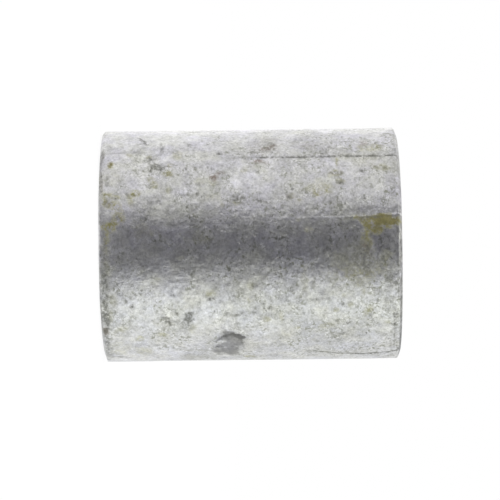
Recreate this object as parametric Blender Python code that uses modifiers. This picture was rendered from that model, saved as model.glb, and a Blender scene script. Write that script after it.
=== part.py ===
"""Straight-tapped steel pipe coupling, standing on one end face.

The coupling is one piece of steel: a turned barrel with broken outer edges, drilled
through, countersunk at both mouths and tapped from end to end with a straight pipe thread.
The frame is +Z along the bore, with the origin at the middle of the end face it stands on.
"""

import math

import bmesh
import bpy
from mathutils import Vector

# Driving dimensions, in metres. The thread is the 1/2-14 straight pipe thread of couplings.
COUPLING_LENGTH = 0.0346
THREAD_PITCH = 0.0254 / 14
THREAD_PITCH_DIAMETER = 0.01977
THREAD_TRUNCATION = 0.000145  # cut off each sharp crest and root, measured radially
WALL_BEHIND_THREAD = 0.00298  # steel left between the thread's roots and the outside
MOUTH_RELIEF = 0.00058  # how far the countersunk mouth is wider than the thread's roots
EDGE_BREAK_LENGTH = 0.00055  # the outer edge's bevel, measured along the barrel
EDGE_BREAK_DEPTH = 0.0009  # the same bevel, measured towards the axis
EDGE_ROUND = 0.00025  # the zinc rounds each corner of that bevel
DRILL_UNDERSIZE = 0.0004  # steel that the tap takes off the drilled hole's radius

# How finely the round forms are faceted.
FACETS_ROUND = 60
STEPS_PER_ROUND = 2

# Sizes that follow from the driving dimensions.
FLANK_SLOPE = math.tan(math.radians(30))  # 60 degree thread: along the axis for each radial unit
SHARP_HEIGHT = THREAD_PITCH / (2 * FLANK_SLOPE)
THREAD_HEIGHT = SHARP_HEIGHT - 2 * THREAD_TRUNCATION
CREST_RADIUS = (THREAD_PITCH_DIAMETER - THREAD_HEIGHT) / 2
ROOT_RADIUS = (THREAD_PITCH_DIAMETER + THREAD_HEIGHT) / 2
DRILLED_RADIUS = CREST_RADIUS - DRILL_UNDERSIZE
BARREL_RADIUS = ROOT_RADIUS + WALL_BEHIND_THREAD
MOUTH_RADIUS = ROOT_RADIUS + MOUTH_RELIEF

MERGE_DISTANCE = 1e-6
SHARP_ANGLE = math.radians(35)  # faces that turn less than this are shaded as one round surface

ZINC_COLOUR = (0.55, 0.55, 0.54, 1.0)
ZINC_METALLIC = 0.85
ZINC_ROUGHNESS = 0.42


def clear_scene():
    """Start from an empty scene."""
    for obj in list(bpy.data.objects):
        bpy.data.objects.remove(obj, do_unlink=True)


def new_collection(name):
    """A collection of its own for the part or for its cutting tools."""
    collection = bpy.data.collections.new(name)
    bpy.context.scene.collection.children.link(collection)
    return collection


def zinc_material():
    """Dull hot-dip zinc."""
    material = bpy.data.materials.new("galvanized_steel")
    material.use_nodes = True
    shader = material.node_tree.nodes["Principled BSDF"]
    shader.inputs["Base Color"].default_value = ZINC_COLOUR
    shader.inputs["Metallic"].default_value = ZINC_METALLIC
    shader.inputs["Roughness"].default_value = ZINC_ROUGHNESS
    return material


def rounded_corner(before, corner, after, radius, steps):
    """Points of an arc that rounds one corner of a profile, from one side to the other."""
    to_before = (before - corner).normalized()
    to_after = (after - corner).normalized()
    half_angle = to_before.angle(to_after) / 2
    centre = corner + (to_before + to_after).normalized() * (radius / math.sin(half_angle))
    setback = radius / math.tan(half_angle)
    start = (corner + to_before * setback - centre).normalized()
    end = (corner + to_after * setback - centre).normalized()
    return [centre + radius * start.slerp(end, step / steps) for step in range(steps + 1)]


def outer_edge(height, inward):
    """The broken outer edge at one end, from the barrel's side to the end face.

    height is the end face's place on Z, and inward points from it along the barrel.
    """
    side = Vector((BARREL_RADIUS, 0, height + inward * COUPLING_LENGTH / 2))
    shoulder = Vector((BARREL_RADIUS, 0, height + inward * EDGE_BREAK_LENGTH))
    nose = Vector((BARREL_RADIUS - EDGE_BREAK_DEPTH, 0, height))
    face = Vector((MOUTH_RADIUS, 0, height))
    return [
        *rounded_corner(side, shoulder, nose, EDGE_ROUND, STEPS_PER_ROUND),
        *rounded_corner(shoulder, nose, face, EDGE_ROUND, STEPS_PER_ROUND),
    ]


def barrel_profile():
    """Half section of the drilled and countersunk barrel, round the wall of the tube."""
    countersink = MOUTH_RADIUS - DRILLED_RADIUS  # 45 degrees, so as deep as it is wide
    top_edge = outer_edge(COUPLING_LENGTH, -1)
    bottom_edge = outer_edge(0, 1)
    return [
        Vector((DRILLED_RADIUS, 0, countersink)),
        Vector((DRILLED_RADIUS, 0, COUPLING_LENGTH - countersink)),
        Vector((MOUTH_RADIUS, 0, COUPLING_LENGTH)),
        *reversed(top_edge),
        *bottom_edge,
        Vector((MOUTH_RADIUS, 0, 0)),
    ]


def turned(name, profile, closed, collection, rise=0.0, turns=1):
    """An object whose profile is swept round Z by a Screw modifier, rising by rise each turn."""
    count = len(profile)
    edges = [(i, i + 1) for i in range(count - 1)]
    if closed:
        edges.append((count - 1, 0))
    mesh = bpy.data.meshes.new(name)
    mesh.from_pydata([tuple(point) for point in profile], edges, [])
    obj = bpy.data.objects.new(name, mesh)
    collection.objects.link(obj)
    screw = obj.modifiers.new("turn", "SCREW")
    screw.axis = "Z"
    screw.angle = 2 * math.pi
    screw.screw_offset = rise
    screw.iterations = turns
    screw.steps = FACETS_ROUND
    screw.render_steps = FACETS_ROUND
    screw.use_merge_vertices = True
    screw.merge_threshold = MERGE_DISTANCE
    return obj


def tooth_profile():
    """One pitch of the tap's outline, top to bottom: root flat, flank, crest flat, flank."""
    flat = 2 * THREAD_TRUNCATION * FLANK_SLOPE
    flank = THREAD_HEIGHT * FLANK_SLOPE
    heights = [THREAD_PITCH, THREAD_PITCH - flat, THREAD_PITCH - flat - flank, flank, 0]
    radii = [CREST_RADIUS, CREST_RADIUS, ROOT_RADIUS, ROOT_RADIUS, CREST_RADIUS]
    return [Vector((radius, 0, height)) for radius, height in zip(radii, heights)]


def close_screw_ends(mesh):
    """Cap both ends of an open screw surface with a fan of faces from a point on its axis."""
    form = bmesh.new()
    form.from_mesh(mesh)
    bmesh.ops.remove_doubles(form, verts=form.verts, dist=MERGE_DISTANCE)
    middle = sum(vert.co.z for vert in form.verts) / len(form.verts)
    rims = [edge for edge in form.edges if edge.is_boundary]
    for below in (True, False):
        rim = [edge for edge in rims if (edge.verts[0].co.z < middle) == below]
        heights = [vert.co.z for edge in rim for vert in edge.verts]
        hub = form.verts.new((0, 0, sum(heights) / len(heights)))
        for edge in rim:
            form.faces.new((edge.verts[0], edge.verts[1], hub))
    bmesh.ops.recalc_face_normals(form, faces=form.faces)
    form.to_mesh(mesh)
    form.free()


def make_tap(collection):
    """The tap: a right-hand screw as long as the coupling and a pitch or two beyond each end."""
    turns = math.ceil(COUPLING_LENGTH / THREAD_PITCH) + 4
    sweep = turned("tap_sweep", tooth_profile(), False, collection, THREAD_PITCH, turns)
    graph = bpy.context.evaluated_depsgraph_get()
    mesh = bpy.data.meshes.new_from_object(sweep.evaluated_get(graph))
    bpy.data.objects.remove(sweep, do_unlink=True)
    close_screw_ends(mesh)
    tap = bpy.data.objects.new("tap", mesh)
    tap.location.z = -2 * THREAD_PITCH
    tap.hide_render = True
    tap.display_type = "WIRE"
    collection.objects.link(tap)
    return tap


def shade_round_faces(obj):
    """Make the modifiers' result the object's own mesh, and shade it smooth between true edges."""
    graph = bpy.context.evaluated_depsgraph_get()
    mesh = bpy.data.meshes.new_from_object(obj.evaluated_get(graph))
    obj.modifiers.clear()
    obj.data = mesh
    mesh.shade_smooth()
    mesh.set_sharp_from_angle(angle=SHARP_ANGLE)


def make_coupling(parts, tools):
    """The barrel, tapped right through."""
    coupling = turned("coupling_body", barrel_profile(), True, parts)
    coupling.data.materials.append(zinc_material())
    tapping = coupling.modifiers.new("tapping", "BOOLEAN")
    tapping.operation = "DIFFERENCE"
    tapping.solver = "EXACT"
    tapping.object = make_tap(tools)
    shade_round_faces(coupling)
    return coupling


def main():
    """Build the coupling."""
    clear_scene()
    make_coupling(new_collection("merchant_coupling"), new_collection("cutting_tools"))


main()
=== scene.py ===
"""A galvanized steel pipe coupling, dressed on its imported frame.

The coupling stands on one end with its bore along +Z. One closed piece stands for the whole
of it: a zinc coated barrel with broken edges and flat ends, and a bare cut pipe thread inside.
The zinc's relief and its stains are worked out on a grid round the barrel. Its grain comes
from the material. Angles are taken from the front, which faces the camera, towards +X.
"""

from __future__ import annotations

import logging
import math
from dataclasses import dataclass, replace
from enum import Enum
from typing import Union

import bpy
import numpy as np
from mathutils import Matrix, Vector

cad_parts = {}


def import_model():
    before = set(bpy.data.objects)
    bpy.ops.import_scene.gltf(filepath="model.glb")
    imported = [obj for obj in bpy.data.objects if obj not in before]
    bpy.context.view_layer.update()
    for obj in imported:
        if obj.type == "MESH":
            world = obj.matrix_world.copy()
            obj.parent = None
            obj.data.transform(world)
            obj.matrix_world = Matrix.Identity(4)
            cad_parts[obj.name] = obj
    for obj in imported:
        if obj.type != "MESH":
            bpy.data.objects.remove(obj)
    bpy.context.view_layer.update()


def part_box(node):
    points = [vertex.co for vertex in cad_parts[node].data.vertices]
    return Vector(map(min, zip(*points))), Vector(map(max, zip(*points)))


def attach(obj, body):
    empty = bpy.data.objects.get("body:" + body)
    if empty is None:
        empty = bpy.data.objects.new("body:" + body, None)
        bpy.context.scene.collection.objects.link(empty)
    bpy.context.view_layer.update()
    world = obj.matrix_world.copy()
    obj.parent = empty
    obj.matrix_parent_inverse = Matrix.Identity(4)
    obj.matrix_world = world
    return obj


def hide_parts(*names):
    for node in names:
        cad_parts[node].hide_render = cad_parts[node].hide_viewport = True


MILLIMETRE = 0.001

Colour = tuple[float, float, float]
Value = Union[bpy.types.NodeSocket, float, tuple[float, ...]]  # what a node's input is fed with

log = logging.getLogger("pipe_coupling")


class Wear(Enum):
    """A kind of mark on the zinc. The value names the vertex attribute that carries it."""

    OLIVE = "olive_stain"
    RUST = "rust_freckle"
    # Dark flecks of dirt, and a few strips along the lower end's shoulder that are painted shade.
    SOOT_AND_SHADE = "dark_fleck"
    # Clean zinc, and the painted highlights along the mill's lines.
    BRIGHT = "clean_zinc_and_highlight"
    BARE = "bare_steel"
    RIM = "broken_rim"
    # The broken edges: darkened partly by wear and partly as painted shade on the bevels.
    EDGE = "turned_edge"
    FACE = "end_face"


@dataclass(frozen=True)
class Mark:
    """One mark on the zinc: an ellipse that the weathering makes ragged.

    Attributes:
        along: its middle, in millimetres up from the lower end.
        around: its middle, in degrees from the front.
        length: its full size along the barrel, in millimetres.
        width: its full size round the barrel, in millimetres.
        strength: how fully it covers, from 0 to 1.
        tilt: how far it is turned on the surface, in degrees.
    """

    along: float
    around: float
    length: float
    width: float
    strength: float
    tilt: float = 0.0


def marks(*rows: tuple[float, ...]) -> tuple[Mark, ...]:
    """Marks from rows of numbers, each in the order of the fields of Mark."""
    return tuple(Mark(*row) for row in rows)


@dataclass(frozen=True)
class Score:
    """A long line drawn along the barrel by the tube mill.

    Attributes:
        along: places on the line, in millimetres up from the lower end.
        around: the line's angle at those places, in degrees from the front.
        height: how far the line stands out there, in millimetres, below zero for a groove.
        width: the line's width, in millimetres.
        soot: how dark the dirt in it is at those places, from 0 to 1.
        lean: where that dirt lies beside the line, in millimetres towards +X.
        gleam: how strong the painted highlight along the line is, laid on as clean zinc, from 0 to 1.
    """

    along: tuple[float, ...]
    around: tuple[float, ...]
    height: tuple[float, ...]
    width: float
    soot: tuple[float, ...]
    lean: float = 0.0
    gleam: float = 0.0


# The marks on the side that faces the camera. Most were read off the photo as pixels and
# turned into millimetres and degrees. The others even out what still differed from the photo.
# A row gives a mark's along, around, length, width and strength, and its tilt where it has one.
MARKS: dict[Wear, tuple[Mark, ...]] = {
    Wear.OLIVE: marks(
        (31.2, -12.3, 4.6, 0.8, 1, 2), (32.5, -11, 2.2, 1.3, 1, 3), (30.9, -8.6, 1.2, 1.9, 0.85),
        (30.6, -3, 1.1, 3, 0.5, -4), (32.4, 10, 1.8, 3.4, 0.2, 10), (1.6, -36, 2.6, 2.2, 0.14),
        (31.2, 8, 3.6, 3, 0.09), (33.6, -9.6, 0.9, 0.7, 0.8), (30.4, -10.3, 1.3, 1.2, 0.8),
        (0.8, 6, 1, 12, 0.15), (33.1, -12.8, 2.2, 0.9, 1, 3), (31.9, -7.6, 1, 1.5, 0.95),
        (29.6, 8.8, 5.6, 2.8, 0.18), (13.2, -32, 0.9, 0.7, 0.25), (1.4, -44, 0.66, 0.84, 1),
        (8.2, -43, 0.47, 0.48, 0.55), (8, -37.4, 1, 0.7, 0.78, -10), (5.8, -49, 0.58, 0.71, 0.4, -40),
        (6.4, -31, 0.75, 0.75, 0.38), (6, -34, 0.8, 0.8, 0.32), (9.2, -51, 1.4, 1.48, 0.22),
        (3.5, -51, 0.7, 0.56, 0.3), (1.1, -25, 1.4, 0.9, 0.42), (2.2, -24.7, 0.7, 0.5, 0.45),
        (3.7, -25, 0.93, 0.77, 0.42, 30), (4.3, -26.6, 0.9, 0.8, 0.5), (1.1, -21.2, 1.3, 0.65, 0.52),
        (3.7, -22, 0.7, 1.2, 0.32), (2, -18, 0.7, 1.4, 0.42, -20), (2.6, -15, 0.8, 1.5, 0.48, 10),
        (1.9, -11.5, 1.5, 0.9, 0.4, 25), (1.2, -9.6, 1.6, 1.1, 0.64, 5), (0.9, -4, 0.6, 1.8, 0.4),
        (0.8, 3, 0.47, 3.04, 0.2), (16.7, -39, 0.93, 0.6, 0.3), (15.8, -21, 0.82, 0.5, 0.52, 10),
        (17.8, -43, 2.57, 1.61, 0.1), (32.6, -12, 2.6, 0.9, 0.9, 3), (31.6, -10.4, 1.2, 1.2, 0.9),
        (32.9, -8.6, 0.9, 0.8, 0.8, 20), (29.4, -13, 1.4, 0.36, 0.6), (30.5, 2, 0.8, 2.2, 0.4, 8),
        (30.3, 6, 2.57, 1.88, 0.14), (28.7, 12, 3.97, 1.67, 0.1, 10), (23.9, -7, 0.93, 0.59, 0.3),
        (22.7, -12, 0.58, 0.48, 0.32), (27.3, -45, 0.35, 1.48, 0.4), (27.1, -37, 1.28, 0.73, 0.5),
        (27.6, -32, 0.93, 0.55, 0.45), (26.4, -35, 0.47, 0.57, 0.36), (24.8, -25, 0.8, 0.6, 0.38),
        (26.1, -28, 0.47, 1.19, 0.28), (22, -24, 0.93, 0.76, 0.36), (23, -22, 0.58, 0.38, 0.36),
        (31.3, -55, 3.03, 1.23, 0.3), (32.4, -40, 1.63, 0.76, 0.4), (29.9, -45, 3.5, 1.97, 0.11),
        (25.5, -28, 3.03, 2.12, 0.22), (12.6, 24, 0.95, 0.9, 0.36), (17.2, 20, 0.8, 0.85, 0.28),
        (19, 39, 0.9, 0.8, 0.34), (17.1, 28, 0.7, 0.66, 0.24), (9.3, 6, 0.82, 0.47, 0.18),
        (6.6, 16, 0.7, 0.36, 0.48), (4.4, 52, 1.05, 1, 0.32), (2.5, 45, 1.15, 0.95, 0.26),
        (7.1, 49, 1.15, 0.7, 0.28), (20.7, 38, 0.47, 1.48, 0.32), (17, 74, 1.17, 0.97, 0.48),
        (30.6, 35, 0.58, 1.43, 0.48, -30), (27, 34, 0.58, 0.56, 0.4), (28.6, 31, 0.58, 0.41, 0.44, 20),
        (26, 44, 1.63, 0.81, 0.32), (22.6, 45, 0.58, 0.49, 0.48), (30.7, 26, 4.2, 2.61, 0.08),
        (1.9, 62, 2.57, 2.99, 0.2), (10.5, 45, 0.93, 1.32, 0.22), (13.3, -24, 1.63, 1.02, 0.18),
        (11.6, -33, 1.4, 0.84, 0.16), (14.1, -20, 0.58, 0.5, 0.28), (23.4, 18, 1.17, 3.18, 0.15),
        (29.7, 17, 4, 1.9, 0.22), (1.6, 27, 0.82, 2.09, 0.2), (1.2, 37, 0.58, 1.46, 0.22),
        (4.9, 65, 1.63, 2.19, 0.25), (21.2, 54, 3.5, 3.21, 0.12), (8, -28, 0.47, 0.79, 0.32),
        (2, -20.5, 1.6, 1.2, 0.3), (26.9, 16.8, 2.6, 1.4, 0.14), (11.6, -3.4, 2.4, 1.6, 0.15),
        (5.1, -7.2, 2, 1.4, 0.15), (32.9, 42, 0.7, 0.47, 0.3), (27.8, 26, 0.58, 0.39, 0.26),
        (30.1, 24, 0.47, 0.76, 0.2),
    ),
    Wear.RUST: marks(
        (13.2, -35, 0.8, 0.8, 0.8), (13.9, -37.6, 0.6, 0.5, 0.4), (14.1, -38, 0.7, 0.45, 0.45),
        (13.5, -37, 0.26, 0.32, 0.4), (18.3, -45, 1.05, 0.66, 0.6), (19.8, -56, 1.05, 1.25, 0.55),
        (18.9, -55, 0.58, 0.6, 0.6), (30.5, -59, 1.05, 1.37, 0.35), (0.55, 46, 0.6, 1.3, 1),
        (0.4, -50, 0.29, 1.46, 0.3), (0.4, -31, 0.29, 1.49, 0.3), (30.2, 1, 0.58, 0.41, 0.8),
        (19.2, -44, 0.58, 0.64, 0.3), (1.2, -21, 0.5, 0.38, 0.22), (21.6, -24, 0.47, 0.51, 0.3),
        (18.9, -58.5, 3.6, 3.2, 0.12), (23.8, -57.5, 2.2, 1.6, 0.14),
    ),
    Wear.SOOT_AND_SHADE: marks(
        (10.2, 38, 4.6, 2.6, 0.1), (6.1, -47, 1.6, 0.9, 0.4), (33.9, 40, 1.2, 9, 0.12),
        (27, 42, 17, 10, 0.13), (33.9, -45, 1, 9, 0.08), (26.5, -22, 2.4, 1.6, 0.3),
        # The long strips 0.55 and 0.6 millimetres up, round 26 and 30 degrees, are painted shade along the
        # lower end's shoulder.
        (0.4, -51, 0.4, 1.6, 0.5), (0.3, -31, 0.3, 2.6, 0.5), (0.55, 26, 1.1, 12, 0.36),
        (0.6, 30, 0.55, 11, 0.42), (1, -33, 0.4, 1.3, 0.4), (29.6, 5.6, 5.2, 3, 0.25),
        (6.4, -42.2, 2.4, 1.15, 0.6), (10.4, 36, 0.8, 0.9, 0.44, 20), (16.1, -22, 1.2, 1, 0.6),
        (4.8, -61, 0.9, 0.35, 0.35, 17), (17, -40, 36, 9, 0.1), (10.1, 40, 1.2, 1.1, 0.44),
        (7.7, 40, 1.4, 1.1, 0.44, -20), (9, 43, 3.4, 1.6, 0.3), (33.7, 45, 0.22, 6, 0.34),
        (34.1, 22, 0.16, 5, 0.32), (33.3, 55, 0.16, 3, 0.3), (33.8, -35, 0.2, 5, 0.22),
        (34.1, -55, 0.16, 4, 0.22), (6.4, -44, 0.47, 0.65, 0.32), (5.7, -40, 0.7, 0.6, 0.5),
        (5, -64, 2.1, 0.4, 0.6, -65), (7.4, -40.6, 0.7, 0.45, 0.5), (7.2, -56, 0.35, 2.4, 0.42),
        (10, -41, 0.28, 0.34, 0.72), (10.4, -59, 0.47, 0.69, 0.48), (11, -41, 0.4, 0.55, 0.52),
        (11.3, -26, 0.35, 0.39, 0.56), (2.4, -34, 0.19, 0.84, 0.44), (10.5, -31, 0.35, 0.54, 0.32, -30),
        (2.1, -24, 0.42, 0.38, 0.48), (3.3, -26, 0.58, 0.32, 0.44, -40), (1.1, -23, 0.35, 0.38, 0.4),
        (5.9, -48, 0.58, 0.35, 0.4, -45), (2, -44, 0.28, 0.55, 0.32), (2.5, -44, 0.23, 0.32, 0.3),
        (2.8, -53, 3.97, 0.27, 0.22), (5.8, -24, 2.33, 0.26, 0.36, 6), (6.9, -22, 0.7, 0.38, 0.56, -30),
        (9.8, -25, 1.87, 0.26, 0.36, -5), (13.8, -51, 0.58, 0.48, 0.56), (16.1, -51, 0.7, 0.37, 0.52),
        (16.6, -48, 0.58, 0.42, 0.48), (17.7, -52, 0.7, 0.49, 0.48), (19.1, -58, 3.03, 2.61, 0.2),
        (17.2, -29, 1.4, 0.27, 0.36, 30), (15.6, -23, 0.8, 0.7, 0.64), (14.7, -22, 0.35, 0.38, 0.56),
        (18.2, -22, 1.63, 0.5, 0.56, 5), (19.4, -21, 0.7, 0.38, 0.56), (20.3, -33, 0.35, 0.48, 0.4),
        (21.6, -24, 0.47, 0.51, 0.4), (14.2, -42, 0.35, 0.32, 0.48), (12, -53, 0.35, 0.46, 0.48),
        (13, -40, 0.3, 0.37, 0.44), (11.7, -41, 0.35, 0.47, 0.4), (19.4, -74, 0.7, 0.78, 0.3),
        (18.2, -38, 0.35, 0.39, 0.44), (24.6, -58, 3.97, 3.29, 0.16), (27.9, -61, 3.27, 0.38, 0.3),
        (25.1, -68, 3.03, 0.44, 0.22), (27.1, -37, 1.4, 0.44, 0.52), (27.6, -31, 0.82, 0.41, 0.48, -20),
        (30.1, -38, 0.35, 0.42, 0.68), (22, -24, 0.93, 0.51, 0.4, 30), (29.4, -22, 0.4, 0.38, 0.6),
        (30.3, -23, 0.35, 0.38, 0.48), (29, -25, 0.35, 0.39, 0.36), (33.6, -26, 0.58, 0.65, 0.44),
        (33, -32, 0.82, 0.28, 0.36, -20), (32.3, -40, 1.63, 0.46, 0.32), (28.1, -6, 0.28, 0.59, 0.7),
        (26.4, 1, 0.7, 0.3, 0.56), (28.5, 1, 0.47, 0.28, 0.55), (21, -5, 0.7, 0.47, 0.48),
        (32.3, 6, 0.28, 0.59, 0.55), (34, -5, 0.23, 0.82, 0.6), (9.8, -3, 0.3, 0.47, 0.6),
        (6.6, -6, 0.93, 0.47, 0.32, -40), (7.2, 1, 0.7, 0.47, 0.4), (9.1, -5, 0.47, 0.59, 0.44, -60),
        (7.9, -10, 0.58, 0.36, 0.36), (4.6, -10, 0.47, 0.36, 0.24), (1.8, 11, 0.7, 0.36, 0.48, 30),
        (4.1, 8, 0.58, 0.28, 0.48), (3.5, 9, 0.35, 0.35, 0.4), (3.4, 19, 0.35, 0.37, 0.48),
        (2.3, 23, 1.05, 0.51, 0.64, -50), (2.9, 27, 0.93, 0.31, 0.48, -45),
        (3.7, 26, 0.53, 0.39, 0.52, -30), (4, 24, 0.35, 0.33, 0.44, 40), (3.6, 31, 0.53, 0.41, 0.56),
        (1.8, 34, 0.35, 0.85, 0.44, 15), (2.5, 37, 0.58, 0.35, 0.36, 10), (8.4, 25, 0.47, 0.52, 0.56, 30),
        (9.1, 24, 0.7, 0.51, 0.4), (8.8, 35, 0.4, 0.43, 0.48), (10.2, 36, 0.82, 0.86, 0.4, 30),
        (10.2, 39, 1.05, 0.54, 0.4), (7.6, 38, 1.05, 0.44, 0.48, -10), (7.6, 40, 0.47, 0.61, 0.48),
        (7.3, 44, 0.47, 0.64, 0.32), (10, 45, 0.35, 0.39, 0.4), (5.3, 40, 0.58, 0.77, 0.3),
        (8.8, 63, 0.7, 0.52, 0.32), (6.3, 58, 0.93, 0.53, 0.32), (2.2, 72, 0.82, 0.82, 0.4, 5),
        (7.9, 32, 0.58, 0.27, 0.32), (12.6, 27, 0.7, 0.39, 0.6), (13.2, 27, 0.35, 0.32, 0.44),
        (15.3, 25, 0.19, 1.03, 0.4), (15.8, 24, 0.19, 0.77, 0.36), (14.6, 36, 0.7, 0.58, 0.36, -30),
        (15.7, 36, 1.28, 0.57, 0.4, 20), (13.9, 40, 0.58, 0.46, 0.36, 20), (16.4, 40, 0.47, 0.46, 0.3),
        (15.7, 42, 0.82, 0.41, 0.36, 20), (18.7, 30, 0.35, 0.4, 0.48), (19.5, 32, 0.3, 0.41, 0.48),
        (19.1, 33, 0.7, 0.25, 0.44), (18.6, 39, 0.93, 0.3, 0.4, 10), (19, 26, 0.23, 1.17, 0.3),
        (17.5, 35, 0.93, 0.43, 0.3), (33.7, 38, 0.58, 1.18, 0.32), (28.5, 47, 0.42, 0.44, 0.48),
        (27.8, 50, 0.53, 0.51, 0.48), (27, 53, 2.4, 2.2, 0.22), (28.2, 43, 0.82, 0.32, 0.32),
        (26.2, 44, 0.93, 0.49, 0.4), (24.7, 56, 0.58, 0.62, 0.3), (24.4, 20, 0.21, 1, 0.32),
        (22.6, 29, 0.47, 0.53, 0.32), (21.4, 25, 0.7, 1.81, 0.2), (34.2, 65, 0.35, 0.84, 0.56),
        (18.6, 73, 0.7, 0.7, 0.3), (19.8, 72, 1.63, 0.54, 0.3), (34.2, -14, 0.47, 0.24, 0.6),
        (12.6, 38, 0.47, 0.74, 0.3), (14.1, 23.8, 3.4, 2.4, 0.26), (33.2, 22.5, 1.5, 5, 0.26),
        (27, -51.2, 2.6, 1.8, 0.33), (21.5, 20.1, 2.8, 1.8, 0.22), (17.2, 16.3, 3.4, 2, 0.2),
        (30.4, 7.4, 4, 2, 0.5), (23.1, -19.5, 2.6, 3.2, 0.18), (26.9, 16.8, 2.6, 1.6, 0.14),
        (11.3, -26.5, 1.7, 2.4, 0.2), (30.5, -14.2, 2.2, 1.6, 0.44), (7.1, -21, 2.6, 1.8, 0.18),
        (1.2, 30.7, 1.5, 3, 0.24), (2.7, 45.8, 2.2, 2.4, 0.26), (0.9, 69.2, 1.6, 3, 0.42),
        (11, 76, 5, 3, 0.3), (32.5, -48.7, 2.2, 1.8, 0.16), (17.4, -31.7, 2.2, 1.6, 0.14),
        (19.1, -23.4, 2.2, 1.6, 0.14), (7.1, -15.4, 2.4, 1.4, 0.18), (8.6, -17, 2, 1.4, 0.15),
        (6.8, 16.2, 3, 1.6, 0.17), (1.6, 22.6, 1.8, 2, 0.18), (21.9, 26, 2.6, 1.8, 0.18),
        (24.2, 27, 2.2, 1.6, 0.14), (20.3, 31, 2.2, 1.6, 0.14), (18.7, 34.7, 2.2, 1.8, 0.13),
        (25, 67.7, 2.8, 2.4, 0.14), (23.1, -14.2, 2.6, 1.6, 0.26), (17.4, 12.3, 2.8, 1.4, 0.15),
        (33.2, 13.7, 1.4, 3, 0.28), (10.4, 30.7, 2.2, 1.6, 0.13), (28.6, 2.8, 3, 1.8, 0.3),
        (17.1, 24, 2.2, 1.6, 0.16), (11.7, -17.6, 2.4, 1.6, 0.16), (24.9, 28, 0.47, 0.4, 0.42),
        (23.4, 24, 0.47, 0.51, 0.32), (24, 28, 0.23, 0.93, 0.36), (26, 27, 0.47, 0.39, 0.3),
        (28.6, 30, 0.7, 0.41, 0.36), (23.4, 36, 0.47, 0.43, 0.32), (31.5, 29, 0.58, 0.4, 0.38),
        (32.2, 38, 0.35, 0.59, 0.34), (30.9, 37, 0.35, 0.59, 0.4), (25.2, 42, 0.58, 0.47, 0.34),
        (26.9, 46, 0.35, 0.84, 0.36), (32.5, 51, 0.58, 0.56, 0.38), (33.7, 43, 0.47, 0.64, 0.34),
        (29.4, 59, 0.58, 0.67, 0.34), (24.5, 47, 0.35, 0.85, 0.3), (27.2, 41, 0.7, 0.46, 0.32),
        (28.4, 42, 0.58, 0.47, 0.3), (0.5, 46, 0.5, 1, 0.55),
    ),
    Wear.BRIGHT: marks(
        (4.5, -76, 14, 5, 1), (5, -65, 13, 4, 0.75), (4, 72, 11, 5, 0.6), (2, -17, 4, 3.4, 0.55),
        (1, -6, 4, 5, 0.42, 20), (17, 82, 34, 3, 0.2), (16.4, -36, 3.2, 2.2, 0.7),
        (25.2, -34, 2.6, 1.8, 0.5), (1.9, -40, 2.2, 2.4, 0.5), (5.6, -25, 1.4, 0.64, 0.8, 4),
        (17, -32, 3.27, 1.93, 0.8), (18.9, -29, 1.87, 1.07, 0.6), (16.4, -43, 0.58, 0.64, 0.4),
        (11, 5, 0.58, 0.26, 0.9, -15), (4.8, 19, 1.05, 0.15, 0.8), (28.6, 5, 0.3, 0.3, 0.9),
        (27.6, 5, 0.23, 0.7, 0.5), (24, 5, 1.17, 0.19, 0.45), (29.4, -55, 0.7, 1.01, 0.6),
        (28.7, -44, 0.58, 0.65, 0.6), (29.6, -37, 1.87, 1.17, 0.35), (1.5, 23, 0.47, 0.51, 0.5),
        (4.1, 29, 1.87, 1.6, 0.35), (5.7, 35, 1.17, 1.71, 0.35), (11.9, 34, 0.93, 1.68, 0.5),
        (12.7, 38, 1.4, 1.48, 0.35), (14.4, 41, 0.93, 0.92, 0.45), (10.7, 38, 0.7, 1.19, 0.5),
        (28.4, 28, 1.52, 0.34, 0.65, 28), (26.5, 39, 0.7, 0.6, 0.55), (25.8, 32, 1.87, 1.1, 0.35),
        (32.9, 30, 0.93, 1.89, 0.2), (8, -33, 2.1, 1.4, 0.3), (9.4, -28, 1.87, 1.19, 0.25),
        (23, -37, 1.4, 0.88, 0.3), (12.2, 18, 3.5, 1.23, 0.15), (2.4, -20, 1.4, 0.74, 0.35),
        (1, -16, 0.82, 0.73, 0.4), (2.6, -17, 0.93, 0.61, 0.4), (31, -25, 2.33, 1.54, 0.2),
        (17.3, -18, 1.63, 0.37, 0.3), (22.6, -18, 0.7, 1.23, 0.3), (13.9, -36, 1.17, 0.58, 0.15),
        (11.6, -60, 1.4, 0.94, 0.2), (18.1, 52.5, 3.2, 2.2, 0.55), (16.9, -62.9, 3.4, 3, 0.6),
        (14.3, -40.4, 2.4, 2, 0.5), (2.6, -36, 2.2, 1.8, 0.4), (30.5, -32.6, 3, 1.8, 0.35),
        (29.7, 26.4, 2.6, 2, 0.4), (33.6, 0, 0.8, 8, 0.45), (27.9, 60, 3, 2.6, 0.4),
        (15.1, -45.8, 2.2, 2, 0.45), (29.2, -44, 2.6, 1.6, 0.35), (7, -53.4, 2.4, 1.8, 0.4),
        (10.7, -47.6, 2.2, 1.8, 0.4), (14, 45, 1.8, 1, 0.5), (18.6, 60, 2.4, 2, 0.4),
        (11.1, 58, 2.4, 2.2, 0.45), (16.6, -24.6, 2, 1.6, 0.3), (14.8, 41.3, 2.4, 1.6, 0.45),
        (12.9, 39.9, 2, 1.6, 0.35), (1, -48, 1.2, 1.4, 0.5),
    ),
    Wear.BARE: marks(
        (14.9, 57, 2.2, 3.2, 1), (15.6, 52, 1.28, 1.34, 1), (14.3, 64, 2.6, 2.37, 1),
        (14.9, 50.3, 1.2, 1, 1), (13.7, 53.5, 1, 0.5, 0.8, 30), (15.4, 58, 1.05, 1.79, 0.9),
        (14.6, 62.8, 2.3, 1.6, 1), (14.5, 65.5, 1.8, 1.5, 1), (15.7, 55, 1.5, 2.2, 0.95),
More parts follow.
